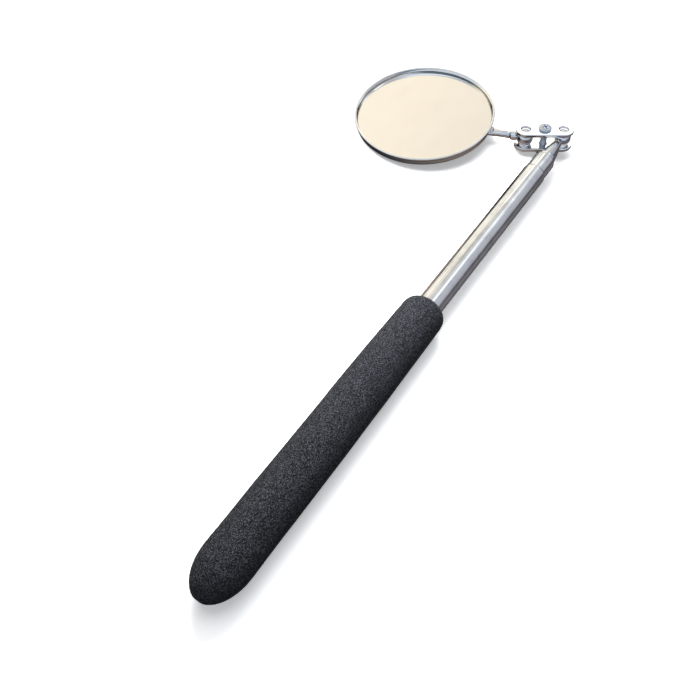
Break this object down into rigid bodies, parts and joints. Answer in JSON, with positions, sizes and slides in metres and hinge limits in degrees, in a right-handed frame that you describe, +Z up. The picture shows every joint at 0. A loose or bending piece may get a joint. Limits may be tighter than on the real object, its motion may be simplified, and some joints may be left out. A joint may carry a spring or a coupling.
{
  "type": "telescoping inspection mirror",
  "caption": "Telescoping inspection mirror: round mirror in a chromed cup on a double-ball clamp, at the end of a sliding chrome tube with a black foam grip.",
  "frame": {"origin": "centre of the bounding box's footprint, on the surface that the tool lies on", "axes": "+X along the tool from the closed end of the grip to the head, +Y towards the side where the mirror lies at rest, +Z up, out of the surface that the tool lies on"},
  "size_m": [0.212, 0.0812, 0.0146],
  "materials": {
    "foam_black": "closed-cell foam rubber with a fine pitted skin, matt",
    "chrome_tube_steel": "bright chrome plating on drawn steel tube",
    "chrome_turned": "bright chrome plating on turned steel",
    "chrome_pressed_plate": "bright chrome plating on pressed strip",
    "chrome_drawn_cup": "bright chrome plating on drawn sheet",
    "zinc_bright": "bluish bright zinc plating",
    "steel_plain": "plain bright steel",
    "brass_spring": "spring brass",
    "plastic_black": "moulded plastic",
    "adhesive_grey": "foam adhesive tape",
    "mirror_silvered": "silvered glass"
  },
  "bodies": {
    "handle": {"foam_grip": "foam_black", "outer_tube": "chrome_tube_steel", "tube_end_plug": "plastic_black"},
    "friction_slider": {"friction_sleeve_upper": "brass_spring", "friction_sleeve_lower": "brass_spring"},
    "inner_shaft": {"shaft_base_plug": "steel_plain", "inner_tube": "chrome_tube_steel", "cone_ferrule": "chrome_turned", "ball_neck": "chrome_turned"},
    "shaft_ball": {"shaft_ball": "chrome_turned"},
    "clamp": {"clamp_plate_upper": "chrome_pressed_plate", "clamp_plate_lower": "chrome_pressed_plate", "clamp_lock_washer": "steel_plain", "clamp_nut": "zinc_bright"},
    "clamp_screw": {"clamp_screw": "zinc_bright"},
    "mirror_ball": {"mirror_ball": "chrome_turned"},
    "stem_collar": {"stem_collar": "chrome_turned"},
    "mirror_head": {"mirror_stem": "chrome_turned", "stem_rivet_1": "steel_plain", "stem_rivet_2": "steel_plain", "mirror_cup": "chrome_drawn_cup", "mirror_adhesive_pad": "adhesive_grey", "mirror_glass": "mirror_silvered"}
  },
  "joints": [
    {"name": "telescope_slide", "type": "slide", "parent": "handle", "child": "friction_slider", "axis": [1, 0, 0], "range_m": [0, 0.16]},
    {"name": "shaft_spin", "type": "hinge", "parent": "friction_slider", "child": "inner_shaft", "pos_m": [-0.106, -0.03325, 0.0073], "axis": [1, 0, 0], "continuous": true},
    {"name": "shaft_ball_tilt", "type": "hinge", "parent": "inner_shaft", "child": "shaft_ball", "pos_m": [0.0965, -0.03325, 0.0073], "axis": [0, 0.9935, -0.1139], "range_deg": [-9, 9]},
    {"name": "shaft_ball_swing", "type": "hinge", "parent": "shaft_ball", "child": "clamp", "pos_m": [0.0965, -0.03325, 0.0073], "axis": [0, 0.1139, 0.9935], "range_deg": [-244.6, 5.4]},
    {"name": "clamp_screw_turn", "type": "hinge", "parent": "clamp", "child": "clamp_screw", "pos_m": [0.09321, -0.02751, 0.00664], "axis": [0, 0.1139, 0.9935], "continuous": true},
    {"name": "mirror_ball_swing", "type": "hinge", "parent": "clamp", "child": "mirror_ball", "pos_m": [0.08993, -0.02176, 0.00598], "axis": [0, -0.1139, -0.9935], "range_deg": [-35.3, 104.7]},
    {"name": "mirror_ball_tilt", "type": "hinge", "parent": "mirror_ball", "child": "stem_collar", "pos_m": [0.08993, -0.02176, 0.00598], "axis": [-0.969, -0.2454, 0.0281], "range_deg": [-10, 10]},
    {"name": "mirror_twist", "type": "hinge", "parent": "stem_collar", "child": "mirror_head", "pos_m": [0.08993, -0.02176, 0.00598], "axis": [-0.247, 0.9627, -0.1104], "continuous": true}
  ]
}
